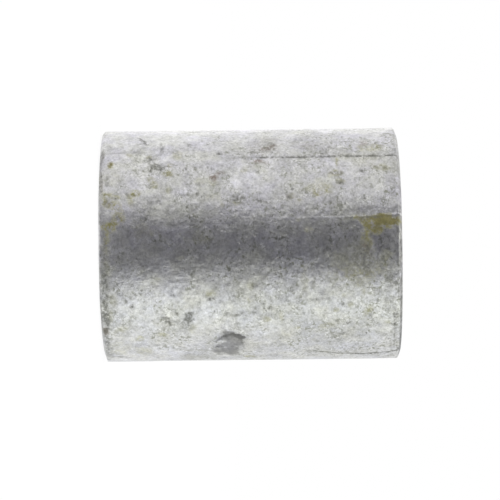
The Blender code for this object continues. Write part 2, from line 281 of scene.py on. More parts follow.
        (15.2, 63, 1.6, 2, 1), (13.9, 59, 1.9, 1.3, 1),
    ),
    Wear.RIM: marks(
        (13.4, 54.3, 1.2, 0.4, 0.75, 50), (14.3, 50.8, 1.5, 0.46, 0.95, 22), (15.5, 50.3, 1.2, 0.7, 1, -33),
        (16.2, 52.3, 1.1, 0.76, 1, -28), (16.1, 55, 0.4, 1.5, 0.6, 10), (13.7, 60.2, 1.6, 0.5, 0.8, -6),
        (15.3, 62, 0.58, 0.76, 0.25, 20),
    ),
}

# The lines that the tube mill left, on the side that faces the camera.
SCORES = (
    Score(
        along=(14.5, 16.0, 18.7, 21.9, 25.3, 29.9, 32.0, 34.3),
        around=(-48.2, -48.3, -48.35, -48.3, -48.6, -48.8, -48.9, -49.2),
        height=(0.0, -0.03, -0.05, -0.05, -0.045, -0.06, -0.09, -0.09),
        width=0.35,
        soot=(0.0, 0.70, 0.82, 0.78, 0.84, 0.95, 1.0, 1.0),
        lean=0.09,
        gleam=0.3,
    ),
    Score(
        along=(18.6, 21.0, 25.2, 28.5, 31.4, 34.3),
        around=(-12.8, -12.9, -12.9, -13.05, -13.3, -14.2),
        height=(0.0, 0.008, 0.012, 0.016, 0.024, 0.03),
        width=0.2,
        soot=(0.0, 0.0, 0.05, 0.12, 0.35, 0.3),
        lean=0.16,
        gleam=0.9,
    ),
    Score(
        along=(23.2, 24.2, 27.0, 29.8, 32.8, 34.3),
        around=(65.0, 66.2, 70.1, 71.9, 70.5, 66.7),
        height=(0.0, -0.03, -0.05, -0.08, -0.08, -0.08),
        width=0.36,
        soot=(0.0, 0.6, 0.8, 1.0, 1.0, 1.0),
    ),
)

# How many marks of each kind are strewn over the sides and the back.
STREWN = {Wear.OLIVE: 40, Wear.RUST: 12, Wear.SOOT_AND_SHADE: 110, Wear.BRIGHT: 30}

# The angles, in degrees from the front, at which the sizes of the broken edges are given.
BREAK_ANGLES = (-180.0, -90.0, -60.0, -25.0, 28.0, 60.0, 90.0, 180.0)

# The flat map, one unit wide and high: the free strip at each side, and the heights between
# which the outside and the bore lie.
MAP_MARGIN = 0.004
OUTSIDE_ON_MAP = (0.006, 0.461)
BORE_ON_MAP = (0.475, 0.995)
RIM_ON_MAP = 0.003  # how far a mouth's ring lies from the end face's last row


def smooth_step(values: np.ndarray, low: float, high: float) -> np.ndarray:
    """Ease from 0 at low to 1 at high.

    Formula: with t the clipped share of the way, three t squared less two t cubed.

    Args:
        values: the values to ease.
        low: where the result leaves 0.
        high: where the result reaches 1.

    Returns:
        An array of the same shape, between 0 and 1.
    """
    share = np.clip((values - low) / (high - low), 0.0, 1.0)
    return share * share * (3.0 - 2.0 * share)


def bell(distance: np.ndarray, reach: float) -> np.ndarray:
    """A bell curve: e to the power of less the square of distance over reach."""
    return np.exp(-((distance / reach) ** 2))


def at_angles(around: np.ndarray, sizes: tuple[float, ...]) -> np.ndarray:
    """Sizes that are given at BREAK_ANGLES, read at angles in radians."""
    return np.interp(np.degrees(around), BREAK_ANGLES, sizes)


def on_rings(radius: np.ndarray, around: np.ndarray, along: np.ndarray) -> np.ndarray:
    """Points by row, column and axis, from their radii, their angles in radians and heights."""
    axes = (radius * np.sin(around), -radius * np.cos(around), along)
    return np.stack(np.broadcast_arrays(*axes), axis=2)


def on_map(around: np.ndarray, share: np.ndarray, span: tuple[float, float]) -> np.ndarray:
    """Places on the flat map. A turn goes across it, and a share from 0 to 1 up the span."""
    across = MAP_MARGIN + (1.0 - 2.0 * MAP_MARGIN) * (around / (2 * math.pi) + 0.5)
    return np.stack(np.broadcast_arrays(across, span[0] + (span[1] - span[0]) * share), axis=2)


def cell_corners(rows: int, columns: int, first: int = 0) -> list[np.ndarray]:
    """The four corners of each cell of a grid of points, in order round the cell.

    Args:
        rows: how many rows of points the grid has.
        columns: how many columns of points it has.
        first: the number of its first point.

    Returns:
        Four arrays of point numbers.
    """
    numbers = first + np.arange(rows * columns).reshape(rows, columns)
    corners = (numbers[:-1, :-1], numbers[:-1, 1:], numbers[1:, 1:], numbers[1:, :-1])
    return [corner.ravel() for corner in corners]


@dataclass(frozen=True)
class Layer:
    """One layer of smooth random values.

    Attributes:
        strength: the largest value.
        cell: the spacing of the random lattice, in millimetres.
        turn: which of the endless lattices to use.
    """

    strength: float
    cell: float
    turn: int


@dataclass(frozen=True)
class BarrelSkin:
    """The developed surface of the barrel, on which its marks and relief are placed.

    In all its functions, around stands for angles from the front in radians, and along for
    heights in millimetres.

    Attributes:
        radius: the barrel's radius in millimetres.
        length: the barrel's length in millimetres.
        seed: the start of the numbers that make its surface uneven.
    """

    radius: float
    length: float
    seed: int = 4127

    SPARE_ROWS = 8  # of a lattice, beyond the barrel's length
    LOWER_ROWS = 2.0  # those of them below its lower end
    TOP_ROWS = 2.001  # kept free above every point, so that each has a row above it
    RAG = (Layer(0.40, 0.42, 1), Layer(0.40, 1.1, 2))
    LEAST_RAG = 0.25  # the share of the rag that the smallest marks still get
    RAGGED_SIZE = 1.5  # of a mark that gets all of it, in millimetres
    MARK_EDGE = (0.6, 1.55)  # where a mark's cover starts to fall and ends, in half sizes
    STREWN_SEED = 900
    STREWN_FROM_END = 0.3  # in millimetres
    STREWN_ARC = (93.0, 267.0)  # in degrees
    STREWN_TILT = 50.0  # at most, in degrees
    STREWN_WIDTH = 1.4  # at most, in millimetres
    STREWN_STRENGTH = 0.62  # as a share of that on the front
    GLEAM_START = (0.0, 0.6, 1.0)  # shares of a line's gleam at the first three places on it
    GLEAM_REACH = 0.65  # shares of a line's width that its gleam, dirt and height reach
    SOOT_REACH = 0.55
    HEIGHT_REACH = 0.5
    SOOT_SHARE = 0.85  # the mean cover of a line's dirt, varied by SOOT_LAYER
    SOOT_LAYER = Layer(0.4, 0.9, 5)
    ALLOWANCE = 0.034  # the mean depth of the relief, in millimetres
    SWELLS = (Layer(0.016, 7.0, 11), Layer(0.012, 2.6, 12), Layer(0.010, 1.1, 13), Layer(0.006, 0.5, 14))
    DEPTHS = {Wear.BARE: 0.035, Wear.SOOT_AND_SHADE: 0.03, Wear.RIM: 0.02}  # in millimetres

    def cloud(self, around: np.ndarray, along: np.ndarray, *layers: Layer) -> np.ndarray:
        """Smooth random values that close on themselves round the barrel.

        Formula: for each layer the four nearest values of a random lattice, mixed by eased
        shares, times the layer's strength.

        Args:
            around: the points' angles.
            along: the points' heights.
            layers: the layers to add up.

        Returns:
            An array of values.
        """
        total = np.zeros(np.broadcast(around, along).shape)
        for layer in layers:
            columns = max(4, round(2 * math.pi * self.radius / layer.cell))
            rows = int(self.length / layer.cell) + self.SPARE_ROWS
            chance = np.random.default_rng(self.seed + layer.turn)
            lattice = chance.uniform(-1.0, 1.0, (rows, columns))
            x = (around / (2 * math.pi) % 1.0) * columns
            y = np.clip(along / layer.cell + self.LOWER_ROWS, 0.0, rows - self.TOP_ROWS)
            left, low = np.floor(x).astype(int), np.floor(y).astype(int)
            sideways = smooth_step(x - left, 0.0, 1.0)
            upwards = smooth_step(y - low, 0.0, 1.0)
            left, right = left % columns, (left + 1) % columns
            below = lattice[low, left] * (1 - sideways) + lattice[low, right] * sideways
            above = lattice[low + 1, left] * (1 - sideways) + lattice[low + 1, right] * sideways
            total += layer.strength * (below * (1 - upwards) + above * upwards)
        return total

    def offset_from(self, around: np.ndarray, degrees: float | np.ndarray) -> np.ndarray:
        """How far round the barrel each point is from an angle, in millimetres towards +X."""
        turn = around - np.radians(degrees)
        return ((turn + math.pi) % (2 * math.pi) - math.pi) * self.radius

    def offset_from_line(self, around: np.ndarray, along: np.ndarray, score: Score) -> np.ndarray:
        """How far round the barrel each point is from a line of the mill, in millimetres."""
        return self.offset_from(around, np.interp(along, score.along, score.around))

    def cover(self, mark: Mark, around: np.ndarray, along: np.ndarray, rag: np.ndarray) -> np.ndarray:
        """How fully one mark covers each point.

        Formula: the distance in half sizes from the mark's middle, plus the raggedness,
        eased from full cover inside to none outside.

        Args:
            mark: the mark.
            around: the points' angles.
            along: the points' heights.
            rag: what is added to the distance at each point.

        Returns:
            An array of cover between 0 and the mark's strength.
        """
        across = -self.offset_from(around, mark.around)
        up = along - mark.along
        cosine, sine = math.cos(math.radians(mark.tilt)), math.sin(math.radians(mark.tilt))
        long_way = (up * cosine + across * sine) / (mark.length / 2)
        short_way = (across * cosine - up * sine) / (mark.width / 2)
        size = math.sqrt(mark.length * mark.width)
        ragged = min(1.0, max(self.LEAST_RAG, size / self.RAGGED_SIZE))
        distance = np.hypot(long_way, short_way) + ragged * rag
        return mark.strength * (1.0 - smooth_step(distance, *self.MARK_EDGE))

    def strewn(self, kind: Wear) -> tuple[Mark, ...]:
        """Marks like those of the front, strewn over the sides and the back.

        Args:
            kind: the kind of mark.

        Returns:
            The marks.
        """
        chance = np.random.default_rng(self.seed + self.STREWN_SEED + list(Wear).index(kind))
        patterns = MARKS.get(kind, ())
        count = STREWN.get(kind, 0)
        picked = chance.integers(0, max(1, len(patterns)), count)
        along = chance.uniform(self.STREWN_FROM_END, self.length - self.STREWN_FROM_END, count)
        around = chance.uniform(*self.STREWN_ARC, count)
        tilt = chance.uniform(-self.STREWN_TILT, self.STREWN_TILT, count)
        return tuple(
            replace(
                patterns[p],
                along=a,
                around=d,
                width=min(patterns[p].width, self.STREWN_WIDTH),
                strength=patterns[p].strength * self.STREWN_STRENGTH,
                tilt=t,
            )
            for p, a, d, t in zip(picked, along, around, tilt)
        )

    def wear(self, around: np.ndarray, along: np.ndarray) -> dict[Wear, np.ndarray]:
        """The cover of every kind of mark at each point.

        Formula: a kind's marks are laid over one another, so that what each leaves bare is
        multiplied by what the others leave bare. The lines of the mill add a bell curve of
        dirt and one of painted highlight, laid on as clean zinc.

        Args:
            around: the points' angles.
            along: the points' heights.

        Returns:
            An array between 0 and 1 for each kind.
        """
        rag = self.cloud(around, along, *self.RAG)
        covers: dict[Wear, np.ndarray] = {}
        for kind in Wear:
            left_bare = np.ones_like(along)
            for mark in MARKS.get(kind, ()) + self.strewn(kind):
                left_bare *= 1.0 - self.cover(mark, around, along, rag)
            covers[kind] = 1.0 - left_bare
        for score in SCORES:
            line = self.offset_from_line(around, along, score)
            # A painted highlight along the line, laid on as clean zinc.
            shine = np.interp(along, score.along[:3], self.GLEAM_START, left=0.0)
            shine *= score.gleam * bell(line, self.GLEAM_REACH * score.width)
            covers[Wear.BRIGHT] = np.maximum(covers[Wear.BRIGHT], shine)
            dirt = np.interp(along, score.along, score.soot, left=0.0)
            dirt *= bell(line - score.lean, self.SOOT_REACH * score.width)
            dirt *= self.SOOT_SHARE + self.cloud(around * 0, along, self.SOOT_LAYER)
            covers[Wear.SOOT_AND_SHADE] = np.clip(1.0 - (1.0 - covers[Wear.SOOT_AND_SHADE]) * (1.0 - dirt), 0.0, 1.0)
        return covers

    def relief(self, around: np.ndarray, along: np.ndarray, covers: dict[Wear, np.ndarray]) -> np.ndarray:
        """How far the surface lies below the barrel's full radius.

        Formula: a base allowance, less slow waves, finer lumps and the mill's lines, plus the
        depth of the bare patch and of the dirt's pits.

        Args:
            around: the points' angles.
            along: the points' heights.
            covers: the cover of each kind of mark.

        Returns:
            An array of depths in millimetres, never below zero.
        """
        depth = self.ALLOWANCE - self.cloud(around, along, *self.SWELLS)
        for score in SCORES:
            line = self.offset_from_line(around, along, score)
            height = np.interp(along, score.along, score.height, left=0.0)
            depth -= height * bell(line, self.HEIGHT_REACH * score.width)
        for kind, deepest in self.DEPTHS.items():
            depth += deepest * covers[kind]
        return np.maximum(depth, 0.0)


@dataclass
class Patch:
    """A grid of points that is to be welded to its neighbours.

    Attributes:
        points: places in millimetres, by row, column and axis.
        chart: places on the piece's flat map, by row, column and axis.
        covers: the cover of each kind of mark, by row and column.
    """

    points: np.ndarray
    chart: np.ndarray
    covers: dict[Wear, np.ndarray]

    def triangles(self, first: int) -> np.ndarray:
        """Three point numbers for each triangle, two to a cell, numbered from a first point."""
        a, b, c, d = cell_corners(*self.points.shape[:2], first)
        return np.concatenate([np.stack([a, b, c], 1), np.stack([a, c, d], 1)])


@dataclass(frozen=True)
class BrokenEnd:
    """How one end of the barrel is broken, rubbed and darkened. Sizes are given at BREAK_ANGLES.

    Attributes:
        depths: how far the broken edge reaches inwards, in millimetres.
        lengths: how far it reaches along the barrel, in millimetres.
        dips: how far the rim of the end face lies behind its mouth, in millimetres.
        wear_and_shade: how dark the broken edge is, from 0 to 1, partly wear and partly painted shade.
        dark_inset: the depths between which that darkness comes in, in millimetres.
        turn: which lattices make this end uneven.
    """

    depths: tuple[float, ...]
    lengths: tuple[float, ...]
    dips: tuple[float, ...]
    wear_and_shade: tuple[float, ...]
    dark_inset: tuple[float, float]
    turn: int


# The darkness given for the broken edges is partly wear and partly painted shade on the bevels.
LOWER_END = BrokenEnd(
    depths=(0.80, 0.38, 0.75, 0.30, 0.30, 0.85, 0.90, 0.80),
    lengths=(0.60, 0.36, 0.40, 0.14, 0.14, 0.36, 0.30, 0.60),
    dips=(0.06, 0.15, 0.15, 0.04, 0.03, 0.14, 0.13, 0.06),
    wear_and_shade=(0.8, 0.3, 0.6, 0.4, 0.3, 0.2, 0.2, 0.8),
    dark_inset=(0.003, 0.02),
    turn=21,
)
UPPER_END = BrokenEnd(
    depths=(0.85, 0.95, 0.95, 0.62, 0.65, 0.75, 0.85, 0.85),
    lengths=(0.50, 0.38, 0.42, 0.38, 0.34, 0.27, 0.30, 0.50),
    dips=(0.06, 0.13, 0.15, 0.06, 0.03, 0.02, 0.02, 0.06),
    wear_and_shade=(0.8, 0.15, 0.15, 0.55, 0.85, 1.0, 0.9, 0.8),
    dark_inset=(0.02, 0.10),
    turn=31,
)


@dataclass(frozen=True)
class BarrelForm:
    """The outside of the coupling: its barrel, its broken edges and its flat ends.

    Attributes:
        skin: the developed surface that gives the marks and the relief.
        mouth_radius: the radius of the countersunk mouths, in millimetres.
        mouth_ring: how far an end face's last row stays outside them, in millimetres.
        nose_round: the radius of the edge between bevel and end face, in millimetres.
        dip_reach: how far from the end face its dip is felt along the barrel, in millimetres.
        columns: how many cells go round the barrel.
        middle_rows: how many rows lie between those near the ends.
        middle_start: how far the first of them lies from the end, in millimetres.
        face_rows: how many rows each end face has.
        follow_arc: how far round from a line of the mill the columns follow it, in degrees.
        near_line: how far a line of the mill draws the columns in round it, in millimetres.
        drawn: the share of their distance that it draws the nearest ones in.
    """

    skin: BarrelSkin
    mouth_radius: float = 11.1
    mouth_ring: float = 0.04
    nose_round: float = 0.07
    dip_reach: float = 2.5
    columns: int = 384
    middle_rows: int = 146
    middle_start: float = 1.1
    face_rows: int = 5
    follow_arc: float = 17.0
    near_line: float = 1.2
    drawn: float = 0.6

    END_ROWS = (0.0, 0.012, 0.045, 0.095, 0.16, 0.24, 0.34, 0.44, 0.54, 0.64, 0.76, 0.92)
    SLOW_UNEVEN = (0.06, 9.0)  # strength and spacing of an edge's unevenness
    FINE_UNEVEN = (0.07, 2.2)
    RAMP_SOFTNESS = 0.02  # the small square that rounds the start of a broken edge
    DARK_SHARE = 0.85  # the mean darkness of the broken edges, varied by DARK_LAYER
    DARK_LAYER = Layer(0.15, 1.3, 41)
    FACE_COVER = 0.85  # how fully an end face shows turned metal

    def heights(self) -> np.ndarray:
        """The rows' heights over the barrel, close together at both ends.

        Returns:
            An array of heights in millimetres.
        """
        length = self.skin.length
        near_end = np.array(self.END_ROWS)
        middle = np.linspace(self.middle_start, length - self.middle_start, self.middle_rows)
        return np.concatenate([near_end, middle, (length - near_end)[::-1]])

    def grid(self) -> tuple[np.ndarray, np.ndarray]:
        """The places of the grid's points, with a column along each line of the mill.

        Formula: the column nearest a line is moved onto it at every height, and its neighbours
        follow by a raised cosine. Those within near_line are also drawn in towards it, by a
        bell curve of the distance.

        Returns:
            Angles from the front in radians, and heights in millimetres.
        """
        angles = np.linspace(-math.pi, math.pi, self.columns + 1)
        around, along = np.meshgrid(angles, self.heights())
        moved = around.copy()
        reach = math.radians(self.follow_arc)
        for score in SCORES:
            line = np.radians(np.interp(along, score.along, score.around))
            column = angles[np.argmin(np.abs(angles - line.mean()))]
            beside = around - column
            follow = 0.5 + 0.5 * np.cos(math.pi * np.clip(beside / reach, -1.0, 1.0))
            nearness = bell(beside * self.skin.radius, self.near_line)
            moved += follow * (line - column) - self.drawn * beside * nearness
        return moved, along

    def edge_inset(self, end: BrokenEnd, from_end: np.ndarray, around: np.ndarray) -> np.ndarray:
        """How far the broken edge lies inside the barrel's side.

        Formula: a straight ramp from the edge's depth at the end to nothing at its length,
        softened by half of x plus the root of x squared and a small square, plus the quarter
        circle of the nose.

        Args:
            end: the broken end.
            from_end: distance from the end face, in millimetres.
            around: angles from the front, in radians.

        Returns:
            An array of insets in millimetres.
        """
        layers = (Layer(*self.SLOW_UNEVEN, end.turn), Layer(*self.FINE_UNEVEN, end.turn + 1))
        uneven = 1.0 + self.skin.cloud(around, from_end * 0, *layers)
        ramp = 1.0 - from_end / (at_angles(around, end.lengths) * uneven)
        ramp = 0.5 * (ramp + np.sqrt(ramp * ramp + self.RAMP_SOFTNESS))
        nose = np.clip(1.0 - from_end / self.nose_round, 0.0, 1.0)
        depth = at_angles(around, end.depths) * uneven
        return depth * ramp + self.nose_round * (1.0 - np.sqrt(1.0 - nose * nose))

    def face_dip(self, end: BrokenEnd, from_end: np.ndarray, around: np.ndarray) -> np.ndarray:
        """How far the rim is rubbed back: the dip, times the square of what is left of dip_reach."""
        left = np.clip(1.0 - from_end / self.dip_reach, 0.0, 1.0)
        return at_angles(around, end.dips) * left * left

    def build(self) -> Patch:
        """The grid from the lower mouth, over the outside, to the upper mouth.

        Formula: each row of the barrel lies at the full radius less the relief and both edge
        insets. The rows of each end face run in straight steps from there to the mouth, and
        the face's dip is nothing at the mouth and grows as the square of the way to the rim.

        Returns:
            The patch.
        """
        skin = self.skin
        around, along = self.grid()
        covers = skin.wear(around, along)
        covers[Wear.EDGE] = np.zeros_like(along)
        covers[Wear.FACE] = np.zeros_like(along)
        radius = skin.radius - skin.relief(around, along, covers)
        dip = np.zeros_like(along)
        ends = ((LOWER_END, along, 1), (UPPER_END, skin.length - along, -1))
        for end, from_end, way in ends:
            inset = self.edge_inset(end, from_end, around)
            radius -= inset
            dip += way * self.face_dip(end, from_end, around)
            # Darken the broken edges: partly wear, partly painted shade on the bevels.
            covers[Wear.EDGE] += smooth_step(inset, *end.dark_inset) * at_angles(around, end.wear_and_shade)
        covers[Wear.EDGE] *= self.DARK_SHARE + skin.cloud(around, along, self.DARK_LAYER)
        steps = np.linspace(1.0, 0.0, self.face_rows + 1)[1:, None]
        mouth = self.mouth_radius + self.mouth_ring
        inward = mouth + (radius[-1] - mouth) * steps
        outward = mouth + (radius[0] - mouth) * steps[::-1]
        radius = np.concatenate([outward, radius, inward])
        sunk, raised = dip[0] * steps[::-1] ** 2, skin.length + dip[-1] * steps**2
        along = np.concatenate([sunk, along + dip, raised])
        face_around = np.tile(around[0], (self.face_rows, 1))
        around = np.concatenate([face_around, around, face_around])
        beyond = ((self.face_rows, self.face_rows), (0, 0))
        covers = {kind: np.pad(values, beyond, "edge") for kind, values in covers.items()}
        covers[Wear.FACE][: self.face_rows] = self.FACE_COVER
        covers[Wear.FACE][-self.face_rows :] = self.FACE_COVER
        points = on_rings(radius, around, along)
        points[:, -1] = points[:, 0]
        walked = np.hypot(np.diff(radius[:, 0]), np.diff(along[:, 0]))
        climb = np.concatenate([[0.0], np.cumsum(walked)])[:, None] / walked.sum()
        return Patch(points, on_map(around, climb, OUTSIDE_ON_MAP), covers)


@dataclass(frozen=True)
class PipeThread:
    """The tapped bore: a straight right-hand pipe thread with countersunk mouths.

    Attributes:
        length: the bore's length in millimetres.
        pitch: the thread's pitch in millimetres.
        crest_radius: the radius over the crests, which stand nearest the axis, in millimetres.
        root_radius: the radius at the roots, in millimetres.
        mouth_radius: the radius of the countersunk mouths, in millimetres.
        start: how far the crest at the front lies below a whole turn, as a share of the pitch.
        columns: how many cells go round the bore.
    """

    length: float
    pitch: float = 25.4 / 14
    crest_radius: float = 9.245
    root_radius: float = 10.526
    mouth_radius: float = 11.1
    start: float = 0.342
    columns: int = 96

    # One pitch of the thread: places along it as shares of the pitch, and heights above the
    # crest's radius as shares of the way to the roots.
    SHARES = (0.0, 0.046, 0.092, 0.13, 0.30, 0.46, 0.50, 0.546, 0.592, 0.63, 0.80, 0.96)
    HEIGHTS = (0.015, 0.0, 0.02, 0.085, 0.50, 0.90, 0.98, 1.0, 0.98, 0.915, 0.50, 0.10)

    def build(self, covers: tuple[Wear, ...]) -> Patch:
        """The grid of the bore, from the upper mouth down to the lower one.

        Formula: each row follows the helix, so a point's height is the pitch times the row's
        turns plus the angle's share of a turn, clamped to the ends. Its radius is the larger of
        the thread's profile and a 45 degree cone at either mouth. The profile is a flat crest,
        a straight flank, a flat root and a straight flank, each corner cut by a small chamfer.

        Args:
            covers: the kinds of mark, none of which lies here.

        Returns:
            The patch.
        """
        turns = math.ceil(self.length / self.pitch) + 2
        rows = (np.arange(turns)[:, None] + np.array(self.SHARES) - 1.0).ravel()[::-1]
        radii = self.crest_radius + (self.root_radius - self.crest_radius) * np.array(self.HEIGHTS)
        profile = np.tile(radii, turns)[::-1]
        angles = np.linspace(-math.pi, math.pi, self.columns + 1)
        around, row = np.meshgrid(angles, rows)
        wanted = (row + around / (2 * math.pi) - self.start) * self.pitch
        along = np.clip(wanted, 0.0, self.length)
        cone = self.mouth_radius - np.minimum(along, self.length - along)
        radius = np.maximum(profile[:, None], cone)
        chart = on_map(around, along / self.length, BORE_ON_MAP)
        blank = {kind: np.zeros_like(along) for kind in covers}
        return Patch(on_rings(radius, around, along), chart, blank)


@dataclass(frozen=True)
class Noise:
    """A noise texture and the part of its range that is used.

    Attributes:
        scale: how many of its lumps go to a millimetre.
        detail: how many finer octaves are added.
        roughness: how strong the finer octaves are, from 0 to 1.
        low: the value that counts as 0.
        high: the value that counts as 1. It lies below low where the noise is turned over.
    """

    scale: float
    detail: float
    roughness: float
    low: float = 0.0
    high: float = 1.0


@dataclass(frozen=True)
class ZincFinish:
    """Weathered hot-dip zinc. Lengths are in millimetres, colours in linear light.

    Attributes:
        dark: the darkest grey of the grain.
        light: the lightest grey of the grain.
        cool: the tint of the lilac clouds, on the side towards -X.
        pale: what that tint becomes on the side towards +X.
        pale_from: the places on X between which it does so.
        warm: the tint of the greenish clouds.
        grime: the colour of the grime.
        crackled: the colour of the crooked lines between the grains.
        pitted: the colour of the pits.
        dirtier: how much more grime lies there for each millimetre along each axis.
        metallic: how metallic clean zinc is.
        roughness: the mean roughness of clean zinc.
        uneven: how far its roughness strays from that.
        grain_height: how high the grain stands.
    """

    dark: Colour = (0.48, 0.48, 0.48)
    light: Colour = (0.875, 0.875, 0.875)
    cool: Colour = (1.0, 0.988, 1.050)
    pale: Colour = (0.987, 1.0, 1.045)
    pale_from: tuple[float, float] = (-3.0, 8.0)
    warm: Colour = (1.0, 1.0, 0.948)
    grime: Colour = (0.33, 0.335, 0.285)
    crackled: Colour = (0.30, 0.305, 0.27)
    pitted: Colour = (0.20, 0.20, 0.185)
    dirtier: tuple[float, float, float] = (0.011, 0.0, 0.0095)
    metallic: float = 0.9
    roughness: float = 0.42
    uneven: float = 0.07
    grain_height: float = 0.12


@dataclass(frozen=True)
class Stain:
    """What one kind of mark does to the zinc.

    Attributes:
        colour: the mark's colour in linear light.
        thin: its colour where it covers the zinc thinly.
        metallic: how metallic the surface is there.
        roughness: its roughness there.
        crumble: how far fine noise eats into the mark's edge, from 0 to 1.
    """

    colour: Colour
    thin: Colour
    metallic: float
    roughness: float
    crumble: float


# Laid over one another in this order.
STAINS: dict[Wear, Stain] = {
    # The broken edges: partly wear, partly painted shade on the bevels.
    Wear.EDGE: Stain((0.18, 0.18, 0.178), (0.30, 0.30, 0.297), 0.4, 0.62, 0.30),
    Wear.FACE: Stain((0.54, 0.54, 0.545), (0.54, 0.54, 0.545), 0.9, 0.36, 0.15),
    # Clean zinc, also laid on as the painted highlights along the mill's lines.
    Wear.BRIGHT: Stain((0.80, 0.80, 0.82), (0.78, 0.78, 0.80), 0.78, 0.42, 0.35),
    Wear.BARE: Stain((0.305, 0.302, 0.300), (0.37, 0.367, 0.362), 0.85, 0.42, 0.30),
    Wear.RIM: Stain((0.185, 0.183, 0.180), (0.28, 0.28, 0.275), 0.5, 0.60, 0.45),
    Wear.OLIVE: Stain((0.285, 0.26, 0.11), (0.47, 0.455, 0.23), 0.3, 0.56, 0.55),
    Wear.RUST: Stain((0.28, 0.215, 0.18), (0.42, 0.36, 0.33), 0.4, 0.62, 0.55),
    # Dark dirt, and the painted shade of the strips along the lower end's shoulder.
    Wear.SOOT_AND_SHADE: Stain((0.23, 0.23, 0.212), (0.33, 0.33, 0.305), 0.5, 0.58, 0.60),
}


class ShaderGraph:
    """A material's or the world's node tree, filled through short calls."""

    def __init__(self, tree: bpy.types.NodeTree) -> None:
        """Start from a tree, which is emptied."""
        self.tree = tree
        tree.nodes.clear()

    def add(self, kind: str, settings: dict | None = None, **inputs: Value) -> bpy.types.Node:
        """Add a node, set its properties, and feed its inputs.

        Args:
            kind: the node's type, without the ShaderNode at its start.
            settings: the node's own properties.
            inputs: a value or another node's socket for each input, named with underscores.

        Returns:
            The node.
        """
        node = self.tree.nodes.new("ShaderNode" + kind)
        for name, value in (settings or {}).items():
            setattr(node, name, value)
        for name, value in inputs.items():
            self.feed(node, name.replace("_", " "), value)
        return node

    def feed(self, node: bpy.types.Node, name: str | int, value: Value) -> None:
        """Link a socket to a node's input, or set the input's own value.

        Args:
            node: the node to feed.
            name: the input's name or number.
            value: a socket, a number or a tuple.
        """
        socket = node.inputs[name]
        if isinstance(value, bpy.types.NodeSocket):
            self.tree.links.new(value, socket)
        elif isinstance(value, tuple) and socket.type == "RGBA" and len(value) == 3:
            socket.default_value = (*value, 1.0)
        else:
            socket.default_value = value

    def feed_all(self, node: bpy.types.Node, values: tuple[Value, ...]) -> bpy.types.Node:
        """Feed a node's first inputs in their order.

        Args:
            node: the node to feed.
            values: what the inputs get.

        Returns:
            The same node.
        """
        for number, value in enumerate(values):
            self.feed(node, number, value)
        return node

    def math(self, operation: str, *values: Value, clamp: bool = False) -> bpy.types.NodeSocket:
        """The result of a Math node on up to three values or sockets."""
        node = self.add("Math", {"operation": operation, "use_clamp": clamp})
        return self.feed_all(node, values).outputs[0]

    def attribute(self, name: str) -> bpy.types.NodeSocket:
        """The value of a vertex attribute."""
        return self.add("Attribute", {"attribute_name": name}).outputs["Fac"]

    def spread(self, value: Value, low: float, high: float, to_low: float = 0.0, to_high: float = 1.0,
               ease: bool = False) -> bpy.types.NodeSocket:
        """The result of a clamped Map Range node.

        Args:
            value: the value to spread.
            low: where the spread starts.
            high: where it ends.
            to_low: the result at low.
            to_high: the result at high.
            ease: whether the way between them is eased at both ends.

        Returns:
            The result's socket.
        """
        kind = "SMOOTHSTEP" if ease else "LINEAR"
        node = self.add("MapRange", {"interpolation_type": kind, "clamp": True}, Value=value)
        for name, limit in (("From Min", low), ("From Max", high), ("To Min", to_low), ("To Max", to_high)):
            self.feed(node, name, limit)
        return node.outputs["Result"]

    def noise(self, place: Value, look: Noise) -> bpy.types.NodeSocket:
        """The factor of a Noise Texture at a place, over its whole range."""
        sizes = {"Scale": look.scale, "Detail": look.detail, "Roughness": look.roughness}
        return self.add("TexNoise", Vector=place, **sizes).outputs["Fac"]

    def veil(self, place: Value, look: Noise, low: float = 0.0, high: float = 1.0) -> bpy.types.NodeSocket:
        """A noise at a place, spread from the used part of its range to the limits."""
        return self.spread(self.noise(place, look), look.low, look.high, low, high)

    def warped(self, place: Value, scale: float, detail: float, reach: float) -> bpy.types.NodeSocket:
        """A place that is pushed about by a noise.

        Args:
            place: the place in millimetres.
            scale: how many of the noise's lumps go to a millimetre.
            detail: how many finer octaves are added.
            reach: how far each axis is pushed, in millimetres at most.

        Returns:
            The place's socket.
        """
        warp = self.add("TexNoise", Vector=place, Scale=scale, Detail=detail).outputs["Color"]
        node = self.add("VectorMath", {"operation": "MULTIPLY_ADD"})
        return self.feed_all(node, (warp, (reach, reach, reach), place)).outputs[0]

    def mix(self, data: str, settings: dict, share: Value, below: Value,
            above: Value) -> bpy.types.NodeSocket:
        """The result of a Mix node.

        Args:
            data: the kind of data, as the names of the node's sockets give it.
            settings: the node's own properties.
            share: how far the result lies towards above, from 0 to 1.
            below: the result at 0.
            above: the result at 1.

        Returns:
            The result's socket.
        """
        node = self.add("Mix", settings)
        for name, value in (("Factor_Float", share), ("A_" + data, below), ("B_" + data, above)):
            number = next(n for n, socket in enumerate(node.inputs) if socket.identifier == name)
            self.feed(node, number, value)
        return next(socket for socket in node.outputs if socket.identifier == "Result_" + data)

    def blend(self, share: Value, below: Value, above: Value, kind: str = "MIX") -> bpy.types.NodeSocket:
        """One colour laid over another by a share."""
        return self.mix("Color", {"data_type": "RGBA", "blend_type": kind}, share, below, above)

    def between(self, share: Value, below: Value, above: Value) -> bpy.types.NodeSocket:
        """A number between two others, by a share."""
        return self.mix("Float", {"data_type": "FLOAT"}, share, below, above)

    def millimetres(self, stretch: tuple[float, float, float] = (1.0, 1.0, 1.0)) -> bpy.types.NodeSocket:
        """The place on the object in millimetres.

        Args:
            stretch: what each axis is multiplied by.

        Returns:
            The place's socket.
        """
        place = self.add("TexCoord").outputs["Object"]
        scale = tuple(share / MILLIMETRE for share in stretch)
        return self.add("Mapping", {"vector_type": "POINT"}, Vector=place, Scale=scale).outputs[0]

